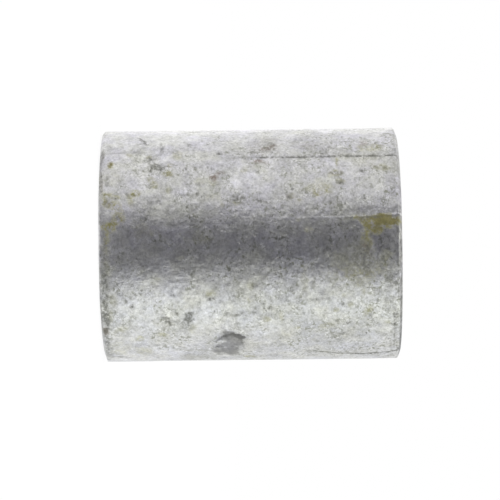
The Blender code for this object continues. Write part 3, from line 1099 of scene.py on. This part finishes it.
    def finish_metal(self, colour: Value, metallic: Value, roughness: Value, height: Value,
                     relief: float) -> None:
        """End the tree in a metal.

        Args:
            colour: its colour.
            metallic: how metallic it is.
            roughness: its roughness.
            height: the height of its bumps, as shares of the relief.
            relief: how high the bumps stand, in millimetres.
        """
        bump = self.add("Bump", Height=height, Strength=1.0, Distance=relief * MILLIMETRE)
        shader = self.add("BsdfPrincipled", Metallic=metallic, Roughness=roughness, Normal=bump.outputs[0])
        self.feed(shader, "Base Color", colour)
        self.add("OutputMaterial", Surface=shader.outputs[0])

    def finish_mixed(self, share: Value, plain: bpy.types.Node, glow: bpy.types.Node) -> None:
        """End the tree in a glow that is laid over a plain shader by a share."""
        mixed = self.feed_all(self.add("MixShader"), (share, plain.outputs[0], glow.outputs[0]))
        self.add("OutputMaterial", Surface=mixed.outputs[0])


def new_material(name: str) -> tuple[bpy.types.Material, ShaderGraph]:
    """A new material.

    Args:
        name: the material's name.

    Returns:
        The material, and its empty tree.
    """
    material = bpy.data.materials.new(name)
    material.use_nodes = True
    return material, ShaderGraph(material.node_tree)


def new_object(name: str, data: bpy.types.ID) -> bpy.types.Object:
    """A new object in the scene.

    Args:
        name: the object's name.
        data: its mesh, camera or lamp.

    Returns:
        The object.
    """
    thing = bpy.data.objects.new(name, data)
    bpy.context.scene.collection.objects.link(thing)
    return thing


class ZincCoat:
    """The weathered zinc on the outside of the coupling."""

    STRETCH = (1.0, 1.0, 1.06)
    TINT_STRETCH = (1.1, 1.1, 1.0)
    GRAIN = Noise(0.45, 4.0, 1.0, 0.32, 0.68)
    CLOUD = Noise(0.09, 2.0, 0.6, 0.3, 0.7)
    CLOUD_RANGE = (-0.10, 0.10)
    SAND = Noise(2.9, 1.0, 0.6, 0.30, 0.70)
    SAND_RANGE = (-0.16, 0.16)
    TINT = Noise(0.33, 3.0, 0.7, 0.34, 0.66)
    CRUMBS = Noise(2.3, 3.0, 0.75, 0.36, 0.64)
    CRUMBLING = 7.0  # how strongly the crumbs eat into the margin of a mark
    COVER_RANGE = (0.02, 0.98)  # the covers that count as none and as full
    FULL_COLOUR = (0.3, 0.95)  # the covers between which a mark takes on its full colour
    GRIME = Noise(2.1, 2.0, 0.7, 0.46, 0.34)
    GRIME_PLACES = Noise(0.30, 3.0, 0.6, 0.40, 0.60)
    GRIME_SHARE = 0.9
    CRACKLE_SHARE = 0.72
    CRACKLE_PLACES = Noise(0.9, 2.0, 0.6, 0.42, 0.60)
    CRACKLE_WARP = (1.4, 2.0, 1.1)  # the scale, detail and reach of what makes it crooked
    CRACKLE_SCALE = 1.5  # cells to a millimetre
    CRACKLE_WIDTH = (0.10, 0.015)  # from an edge, where a line starts and where it is full
    PIT_WARP = (3.0, 1.0, 0.35)
    PIT_SCALE = 1.15
    PIT_CHOICE = (0.70, 1.0)  # the random values between which a cell's pit grows
    PIT_SIZE = 0.24  # the largest pit's radius, as a share of a cell
    PIT_MARGIN = 0.07  # over which a pit fades in
    PIT_SHARE = 0.62
    PIT_HEIGHT = -0.2  # as a share of the grain's height
    PIT_METALLIC = -0.5  # what a pit adds to how metallic the zinc is
    SMOOTH = Noise(0.6, 4.0, 0.8, 0.35, 0.65)
    LUMPS = Noise(0.8, 4.0, 0.62)
    RINGS = Noise(5.0, 2.0, 0.7)
    RING_HEIGHT = 0.9  # as a share of the grain's height
    SHADES = ((0.72, 0.72, 0.72), (1.28, 1.28, 1.28))  # how the grain shades a stain

    def __init__(self, finish: ZincFinish, stains: dict[Wear, Stain]) -> None:
        """Start the material.

        Args:
            finish: the clean zinc.
            stains: what each kind of mark does to it.
        """
        self.finish = finish
        self.stains = stains
        self.material, self.graph = new_material("weathered_zinc")
        self.place = self.graph.millimetres(self.STRETCH)

    def build(self) -> bpy.types.Material:
        """Fill the material.

        Formula: the grain, the clouds and the sand add up to a tone between dark and light.
        Tints multiply it. Grime, pits and then each stain are laid over it by their shares.

        Returns:
            The material.
        """
        graph, place, finish = self.graph, self.place, self.finish
        cloud = graph.veil(place, self.CLOUD, *self.CLOUD_RANGE)
        tone = graph.math("ADD", graph.veil(place, self.GRAIN), cloud)
        tone = graph.math("ADD", tone, graph.veil(place, self.SAND, *self.SAND_RANGE))
        side = graph.add("SeparateXYZ", Vector=graph.millimetres()).outputs[0]
        film = graph.blend(graph.spread(side, *finish.pale_from), finish.cool, finish.pale)
        tint = graph.veil(graph.millimetres(self.TINT_STRETCH), self.TINT)
        tinted = graph.blend(tint, film, finish.warm)
        colour = graph.blend(1.0, graph.blend(tone, finish.dark, finish.light), tinted, "MULTIPLY")
        pits = self.pits()
        colour = self.soiled(colour, pits)
        metallic = graph.math("MULTIPLY_ADD", pits, self.PIT_METALLIC, finish.metallic)
        limits = (finish.roughness - finish.uneven, finish.roughness + finish.uneven)
        rough = graph.veil(place, self.SMOOTH, *limits)
        crumbs = graph.veil(place, self.CRUMBS, -1.0, 1.0)
        shades = graph.blend(tone, *self.SHADES)
        for kind, stain in self.stains.items():
            cover = graph.attribute(kind.value)
            share = self.crumbled(cover, graph.math("MULTIPLY", crumbs, stain.crumble * self.CRUMBLING))
            body = graph.blend(graph.spread(cover, *self.FULL_COLOUR), stain.thin, stain.colour)
            own = graph.blend(1.0, graph.blend(1.0, tinted, body, "MULTIPLY"), shades, "MULTIPLY")
            colour = graph.blend(share, colour, own)
            metallic = graph.between(share, metallic, stain.metallic)
            rough = graph.between(share, rough, stain.roughness)
        height = graph.math("MULTIPLY_ADD", pits, self.PIT_HEIGHT, graph.noise(place, self.LUMPS))
        turned = graph.math("MULTIPLY", graph.attribute(Wear.FACE.value), self.RING_HEIGHT)
        height = graph.math("MULTIPLY_ADD", self.rings(), turned, height)
        graph.finish_metal(colour, metallic, rough, height, finish.grain_height)
        return self.material

    def soiled(self, colour: Value, pits: Value) -> bpy.types.NodeSocket:
        """The zinc's colour under its grime, its crooked lines and its pits.

        Args:
            colour: the colour of clean zinc.
            pits: a socket that is 1 in a pit and 0 outside.

        Returns:
            The colour's socket.
        """
        graph, finish = self.graph, self.finish
        slope = graph.add("VectorMath", {"operation": "DOT_PRODUCT"})
        slope = graph.feed_all(slope, (graph.millimetres(), finish.dirtier)).outputs["Value"]
        places = graph.veil(self.place, self.GRIME_PLACES, 0.0, self.GRIME_SHARE)
        thick = graph.math("ADD", places, slope, clamp=True)
        grime = graph.math("MULTIPLY", graph.veil(self.place, self.GRIME), thick)
        lines = graph.math("MULTIPLY", self.crackle(), graph.math("MULTIPLY", thick, self.CRACKLE_SHARE))
        colour = graph.blend(lines, graph.blend(grime, colour, finish.grime), finish.crackled)
        return graph.blend(graph.math("MULTIPLY", pits, self.PIT_SHARE), colour, finish.pitted)

    def crumbled(self, cover: Value, crumbs: Value) -> bpy.types.NodeSocket:
        """A mark's cover with an edge that fine noise eats into.

        Formula: the cover, plus the crumbs times the square of the cover times what the cover
        leaves bare.

        Args:
            cover: the mark's even cover.
            crumbs: the fine noise, on both sides of zero.

        Returns:
            A socket between 0 and 1.
        """
        graph = self.graph
        margin = graph.math("MULTIPLY", graph.math("POWER", cover, 2.0), graph.math("SUBTRACT", 1.0, cover))
        return graph.spread(graph.math("MULTIPLY_ADD", margin, crumbs, cover), *self.COVER_RANGE)

    def rings(self) -> bpy.types.NodeSocket:
        """Fine uneven rings round the bore's axis, as a facing tool leaves them.

        Returns:
            A socket between 0 and 1.
        """
        flat = self.graph.millimetres((1.0, 1.0, 0.0))
        reach = self.graph.add("VectorMath", {"operation": "LENGTH"}, Vector=flat).outputs["Value"]
        return self.graph.noise(self.graph.add("CombineXYZ", X=reach).outputs[0], self.RINGS)

    def crackle(self) -> bpy.types.NodeSocket:
        """Thin crooked lines between the grains of the zinc, here and there.

        Formula: the distance to the nearest edge between the cells of a warped Voronoi
        texture, turned over, times a veil.

        Returns:
            A socket that is up to 1 on a line and 0 elsewhere.
        """
        shifted = self.graph.warped(self.place, *self.CRACKLE_WARP)
        cells = {"Vector": shifted, "Scale": self.CRACKLE_SCALE}
        edges = self.graph.add("TexVoronoi", {"feature": "DISTANCE_TO_EDGE"}, **cells)
        line = self.graph.spread(edges.outputs["Distance"], *self.CRACKLE_WIDTH)
        return self.graph.math("MULTIPLY", line, self.graph.veil(self.place, self.CRACKLE_PLACES))

    def pits(self) -> bpy.types.NodeSocket:
        """Small dark pits in a few of a Voronoi texture's cells.

        Formula: a cell's random value gives the size of its pit, and the distance from the
        cell's middle is taken off that.

        Returns:
            A socket that is 1 in a pit and 0 outside.
        """
        graph = self.graph
        shifted = graph.warped(self.place, *self.PIT_WARP)
        cells = graph.add("TexVoronoi", Vector=shifted, Scale=self.PIT_SCALE)
        chosen = graph.add("SeparateColor", Color=cells.outputs["Color"]).outputs[0]
        size = graph.spread(chosen, *self.PIT_CHOICE, 0.0, self.PIT_SIZE)
        inside = graph.math("SUBTRACT", size, cells.outputs["Distance"])
        return graph.spread(inside, 0.0, self.PIT_MARGIN)


class CutSteel:
    """The bare, tapped steel inside the coupling."""

    TOOL_STRETCH = (0.25, 0.25, 9.0)
    TOOL = Noise(1.0, 3.0, 0.7, 0.3, 0.7)
    FILM = Noise(0.45, 4.0, 0.7, 0.35, 0.65)
    GREYS = ((0.34, 0.335, 0.325), (0.52, 0.515, 0.50))
    OIL = (0.21, 0.17, 0.12)
    OILED = (0.54, 0.72, 0.0, 0.6)  # the film's values between which oil sets in, and its shares
    ROUGHNESS = (0.26, 0.42)
    METALLIC = 0.95
    FILM_HEIGHT = 0.5  # as a share of the relief
    RELIEF = 0.02  # how high the tool's marks stand, in millimetres

    def build(self) -> bpy.types.Material:
        """Make the material.

        Returns:
            The material.
        """
        material, graph = new_material("cut_steel")
        tool = graph.noise(graph.millimetres(self.TOOL_STRETCH), self.TOOL)
        film = graph.noise(graph.millimetres(), self.FILM)
        colour = graph.blend(graph.spread(tool, self.TOOL.low, self.TOOL.high), *self.GREYS)
        colour = graph.blend(graph.spread(film, *self.OILED, ease=True), colour, self.OIL)
        rough = graph.spread(film, self.FILM.low, self.FILM.high, *self.ROUGHNESS)
        height = graph.math("ADD", tool, graph.math("MULTIPLY", film, self.FILM_HEIGHT))
        graph.finish_metal(colour, self.METALLIC, rough, height, self.RELIEF)
        return material


@dataclass(frozen=True)
class Coupling:
    """The whole coupling as one closed piece.

    Attributes:
        form: its zinc coated outside.
        thread: its cut thread.
    """

    form: BarrelForm
    thread: PipeThread

    ZINC, STEEL = 0, 1  # the numbers of the material slots
    WELD_SCALE = 1e5  # points that agree to this many parts of a millimetre become one
    SHARP_ANGLE = 42.0  # faces that turn less than this are shaded as one surface, in degrees

    def stitch(self, fine: np.ndarray, coarse: np.ndarray, fine_first: bool) -> np.ndarray:
        """Triangles that join a ring of the outside to a ring of the bore.

        Formula: each coarse step faces an equal number of fine steps, four here. Two of them
        meet its start, two its end, and one triangle stands on the coarse step.

        Args:
            fine: the point numbers of the outside's ring.
            coarse: the point numbers of the bore's ring.
            fine_first: whether the walk over the surface meets the fine ring first.

        Returns:
            An array of three point numbers for each triangle.
        """
        f0, f1, f2, f3, f4 = (fine[k : len(fine) - 4 + k : 4] if k < 4 else fine[4::4] for k in range(5))
        start, end = coarse[:-1], coarse[1:]
        sets = [(f0, f1, start), (f1, f2, start), (f2, end, start), (f2, f3, end), (f3, f4, end)]
        faces = np.concatenate([np.stack(corner, 1) for corner in sets])
        return faces if fine_first else faces[:, ::-1]

    def patches(self, kinds: tuple[Wear, ...]) -> list[Patch]:
        """The outside, the bore, and the bore's two outermost rings as the zinc meets them.

        Args:
            kinds: the kinds of mark.

        Returns:
            The patches, the lower ring before the upper one.
        """
        outside, bore = self.form.build(), self.thread.build(kinds)
        columns = bore.points.shape[1]
        step = outside.chart.shape[1] // (columns - 1)
        blank = {kind: np.zeros((1, columns)) for kind in kinds}
        rims = []
        for row, edge, drop in ((-1, 0, -RIM_ON_MAP), (0, -1, RIM_ON_MAP)):
            chart = outside.chart[edge][::step] + np.array([0.0, drop])
            rims.append(Patch(bore.points[row][None], chart[None], blank))
        return [outside, bore, *rims]

    def faces(self, patches: list[Patch]) -> tuple[np.ndarray, np.ndarray]:
        """The triangles of the whole piece, with the points of all patches in one row.

        Args:
            patches: the outside, the bore, and its lower and upper ring.

        Returns:
            Three point numbers and a material slot for each triangle.
        """
        outside, bore = patches[:2]
        sizes = [patch.points.shape[0] * patch.points.shape[1] for patch in patches]
        firsts = np.concatenate([[0], np.cumsum(sizes)]).astype(int)
        wide, narrow = np.arange(outside.points.shape[1]), np.arange(bore.points.shape[1])
        parts = [
            outside.triangles(0),
            bore.triangles(firsts[1]),
            self.stitch(wide, firsts[2] + narrow, False),
            self.stitch(sizes[0] - len(wide) + wide, firsts[3] + narrow, True),
        ]
        slots = np.repeat([self.ZINC, self.STEEL, self.ZINC, self.ZINC], [len(part) for part in parts])
        return np.concatenate(parts), slots

    def mesh(self) -> bpy.types.Mesh:
        """Weld the surfaces into one closed mesh with its map, its marks and its materials.

        Formula: points that round to the same place become one point, and triangles that
        lose a side by that are left out.

        Returns:
            The mesh.
        """
        kinds = tuple(Wear)
        patches = self.patches(kinds)
        corners, slots = self.faces(patches)
        points = np.concatenate([patch.points.reshape(-1, 3) for patch in patches])
        chart = np.concatenate([patch.chart.reshape(-1, 2) for patch in patches])
        places = np.round(points * self.WELD_SCALE).astype(np.int64)
        _, kept, welded = np.unique(places, axis=0, return_index=True, return_inverse=True)
        flat = welded.reshape(-1)[corners]
        real = np.all(flat != np.roll(flat, -1, axis=1), axis=1)
        flat, corners, slots = flat[real], corners[real], slots[real]
        mesh = bpy.data.meshes.new("galvanized_coupling")
        mesh.vertices.add(len(kept))
        mesh.vertices.foreach_set("co", (points[kept] * MILLIMETRE).astype(np.float32).ravel())
        mesh.loops.add(flat.size)
        mesh.loops.foreach_set("vertex_index", flat.astype(np.int32).ravel())
        mesh.polygons.add(len(flat))
        mesh.polygons.foreach_set("loop_start", np.arange(0, flat.size, 3, dtype=np.int32))
        mesh.polygons.foreach_set("material_index", slots.astype(np.int32))
        mesh.update(calc_edges=True)
        uv = mesh.uv_layers.new(name="OFBake")
        uv.data.foreach_set("uv", chart[corners.ravel()].astype(np.float32).ravel())
        for kind in kinds:
            cover = np.concatenate([patch.covers[kind].ravel() for patch in patches])
            layer = mesh.attributes.new(kind.value, "FLOAT", "POINT")
            layer.data.foreach_set("value", cover[kept].astype(np.float32))
        mesh.polygons.foreach_set("use_smooth", np.ones(len(flat), dtype=bool))
        mesh.set_sharp_from_angle(angle=math.radians(self.SHARP_ANGLE))
        return mesh

    def build(self) -> bpy.types.Object:
        """Make the piece, dress it, and give it to the frame.

        Returns:
            The piece.
        """
        piece = new_object("galvanized_coupling", self.mesh())
        piece.data.materials.append(ZincCoat(ZincFinish(), STAINS).build())
        piece.data.materials.append(CutSteel().build())
        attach(piece, "root")
        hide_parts("coupling_body")
        return piece


@dataclass(frozen=True)
class Viewpoint:
    """The camera of the photograph, which lies on its side: the bore's axis runs to the right.

    Attributes:
        distance: from the axis, in metres.
        height: above the lower end, in metres.
        roll: how far the right side is turned up, in radians.
        lens: the focal length in millimetres.
        sensor: the width of the sensor in millimetres.
        shift: the picture's shift to the right and up, as shares of its side.
        near: the nearest distance that it shows, in metres.
    """

    distance: float = 0.4247
    height: float = 0.0173
    roll: float = 0.0128
    lens: float = 261.0
    sensor: float = 36.0
    shift: tuple[float, float] = (-0.0012, -0.0103)
    near: float = 0.01

    def build(self) -> None:
        """Make the scene's camera."""
        data = bpy.data.cameras.new("photo_camera")
        data.lens = self.lens
        data.sensor_width = self.sensor
        data.shift_x, data.shift_y = self.shift
        data.dof.use_dof = False
        data.clip_start = self.near
        camera = new_object("photo_camera", data)
        cosine, sine = math.cos(self.roll), math.sin(self.roll)
        right = Vector((sine, 0.0, cosine))
        up = Vector((-cosine, 0.0, sine))
        back = Vector((0.0, -1.0, 0.0))
        turn = Matrix((right, up, back)).transposed().to_4x4()
        camera.matrix_world = Matrix.Translation((0.0, -self.distance, self.height)) @ turn
        bpy.context.scene.camera = camera


@dataclass(frozen=True)
class Softbox:
    """A square area lamp that looks at the coupling.

    Attributes:
        name: the lamp's name.
        place: where it stands, in metres.
        size: its side in metres.
        radiance: how bright its face is, where white paper in plain light is 1.
        tint: the colour of its light.
    """

    name: str
    place: tuple[float, float, float]
    size: float
    radiance: float
    tint: Colour = (1.0, 1.0, 1.0)

    def build(self, target: Vector) -> None:
        """Hang the lamp.

        Args:
            target: what it looks at.
        """
        data = bpy.data.lights.new(self.name, "AREA")
        data.shape = "SQUARE"
        data.size = self.size
        data.energy = self.radiance * math.pi * self.size**2
        data.color = self.tint
        lamp = new_object(self.name, data)
        lamp.location = self.place
        lamp.rotation_euler = (target - Vector(self.place)).to_track_quat("-Z", "Y").to_euler()
        lamp.visible_camera = False


@dataclass(frozen=True)
class DarkScreen:
    """A dark curved screen in front of the coupling, seen in its metal only.

    Attributes:
        radius: its distance from the bore's axis, in metres.
        sides: the directions of its two sides at the floor, in degrees from the front.
        spread: how much further the first side reaches above the coupling, in degrees.
        fade: how wide each side fades out, in degrees.
        floor_rings: the reach, in metres, and the density of the points near the coupling.
        lift: how far its lower part lies above the coupling's foot, in metres.
        foot: the height at which it has its full spread, in metres.
        top: the height of its upper edge in metres.
        glow: how bright it is.
        colour: the colour of its glow.
        columns: how many points go across it.
    """

    radius: float = 0.16
    sides: tuple[float, float] = (-31.0, 34.0)
    spread: float = 8.0
    fade: float = 6.0
    floor_rings: tuple[tuple[float, float], ...] = ((0.0137, 0.5), (0.0200, 0.9), (0.0500, 1.0))
    lift: float = 0.00003
    foot: float = 0.04
    top: float = 0.6
    glow: float = 0.085
    colour: Colour = (0.95, 0.93, 1.15)
    columns: int = 65

    def build(self) -> None:
        """Stand the screen on the floor.

        Formula: each ring of points is given by its reach, its height, its share of the
        spread and its density. The first ones lie on the floor. The density falls to nothing
        towards both sides.
        """
        rings = np.array([
            *((reach, self.lift, 0.0, density) for reach, density in self.floor_rings),
            (self.radius, self.lift, 0.0, 1.0),
            (self.radius, self.foot, 1.0, 1.0),
            (self.radius, self.top / 2, 1.0, 1.0),
            (self.radius, self.top, 1.0, 0.0),
        ])
        reach, height, spread, density = (column[:, None] for column in rings.T)
        first = self.sides[0] - self.spread * spread
        degrees = first + (self.sides[1] - first) * np.linspace(0.0, 1.0, self.columns)
        density = density * smooth_step(degrees - first, 0.0, self.fade)
        density = density * smooth_step(self.sides[1] - degrees, 0.0, self.fade)
        points = on_rings(reach, np.radians(degrees), height)
        faces = np.stack(cell_corners(*degrees.shape), axis=1)
        mesh = bpy.data.meshes.new("dark_screen")
        mesh.from_pydata(points.reshape(-1, 3).tolist(), [], faces.tolist())
        mesh.attributes.new("screen_cover", "FLOAT", "POINT").data.foreach_set("value", density.ravel())
        material, graph = new_material("dark_screen")
        glow = graph.add("Emission", Color=self.colour, Strength=self.glow)
        graph.finish_mixed(graph.attribute("screen_cover"), graph.add("BsdfTransparent"), glow)
        mesh.materials.append(material)
        screen = new_object("dark_screen", mesh)
        for way in ("camera", "diffuse", "transmission", "shadow", "volume_scatter"):
            setattr(screen, "visible_" + way, False)


class Studio:
    """The white surroundings: a plain world, a white floor and the lamps."""

    LAMPS = (
        Softbox("key_softbox", (0.45, -0.22, 0.12), 0.4, 0.48, (0.91, 1.0, 0.88)),
        Softbox("rim_softbox", (-0.09, 0.19, 0.012), 0.1, 0.75),
        Softbox("top_softbox", (0.0, 0.0, 0.7), 0.5, 0.5),
    )
    WHITE = (1.0, 1.0, 1.0)
    PLAIN_LIGHT = 0.62  # the world's strength for rays that don't see the background
    PAPER = (0.85, 0.85, 0.85)
    PAPER_GLOW = 1.12
    PAPER_GLOW_SHARE = 0.8  # how much of the floor is glow where it is seen
    FLOOR_REACH = 3.0  # from the coupling to each side of the floor, in metres
    FLOOR_DROP = 0.00005  # how far the floor lies below the coupling, in metres

    def backdrop_rays(self, graph: ShaderGraph) -> bpy.types.NodeSocket:
        """Whether a ray should see the plain background.

        Args:
            graph: the tree to fill.

        Returns:
            A socket that is 1 or 0.
        """
        path = graph.add("LightPath")
        seen = graph.math("MAXIMUM", path.outputs["Is Camera Ray"], path.outputs["Is Glossy Ray"])
        return graph.math("MAXIMUM", seen, path.outputs["Is Transmission Ray"])

    def build_world(self) -> None:
        """White where it is seen, and plain light for everything else."""
        world = bpy.data.worlds.new("studio_world")
        world.use_nodes = True
        bpy.context.scene.world = world
        graph = ShaderGraph(world.node_tree)
        strength = graph.between(self.backdrop_rays(graph), self.PLAIN_LIGHT, 1.0)
        light = graph.add("Background", Color=self.WHITE, Strength=strength)
        graph.add("OutputWorld", Surface=light.outputs[0])

    def build_floor(self) -> None:
        """A wide white floor that takes the coupling's soft shadow."""
        mesh = bpy.data.meshes.new("studio_floor")
        signs = ((-1, -1), (1, -1), (1, 1), (-1, 1))
        corners = [(x * self.FLOOR_REACH, y * self.FLOOR_REACH, -self.FLOOR_DROP) for x, y in signs]
        mesh.from_pydata(corners, [], [(0, 1, 2, 3)])
        material, graph = new_material("white_paper")
        share = graph.math("MULTIPLY", self.backdrop_rays(graph), self.PAPER_GLOW_SHARE)
        paper = graph.add("BsdfDiffuse", Color=self.PAPER)
        glow = graph.add("Emission", Color=self.WHITE, Strength=self.PAPER_GLOW)
        graph.finish_mixed(share, paper, glow)
        mesh.materials.append(material)
        new_object("studio_floor", mesh)

    def build(self, target: Vector) -> None:
        """Build all of it round a target.

        Args:
            target: the middle of the coupling.
        """
        self.build_world()
        self.build_floor()
        for lamp in self.LAMPS:
            lamp.build(target)
        DarkScreen().build()


def main() -> None:
    """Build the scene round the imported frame."""
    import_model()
    low, high = (Vector(corner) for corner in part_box("coupling_body"))
    radius = (high.x - low.x) / 2 / MILLIMETRE
    length = (high.z - low.z) / MILLIMETRE
    skin = BarrelSkin(radius, length)
    piece = Coupling(BarrelForm(skin), PipeThread(length)).build()
    log.info("%s: %d triangles", piece.name, len(piece.data.polygons))
    Studio().build((low + high) / 2)
    Viewpoint().build()
    scene = bpy.context.scene
    scene.view_settings.view_transform = "Standard"


if __name__ == "__main__":
    logging.basicConfig(level=logging.INFO, format="%(name)s: %(message)s")
    main()
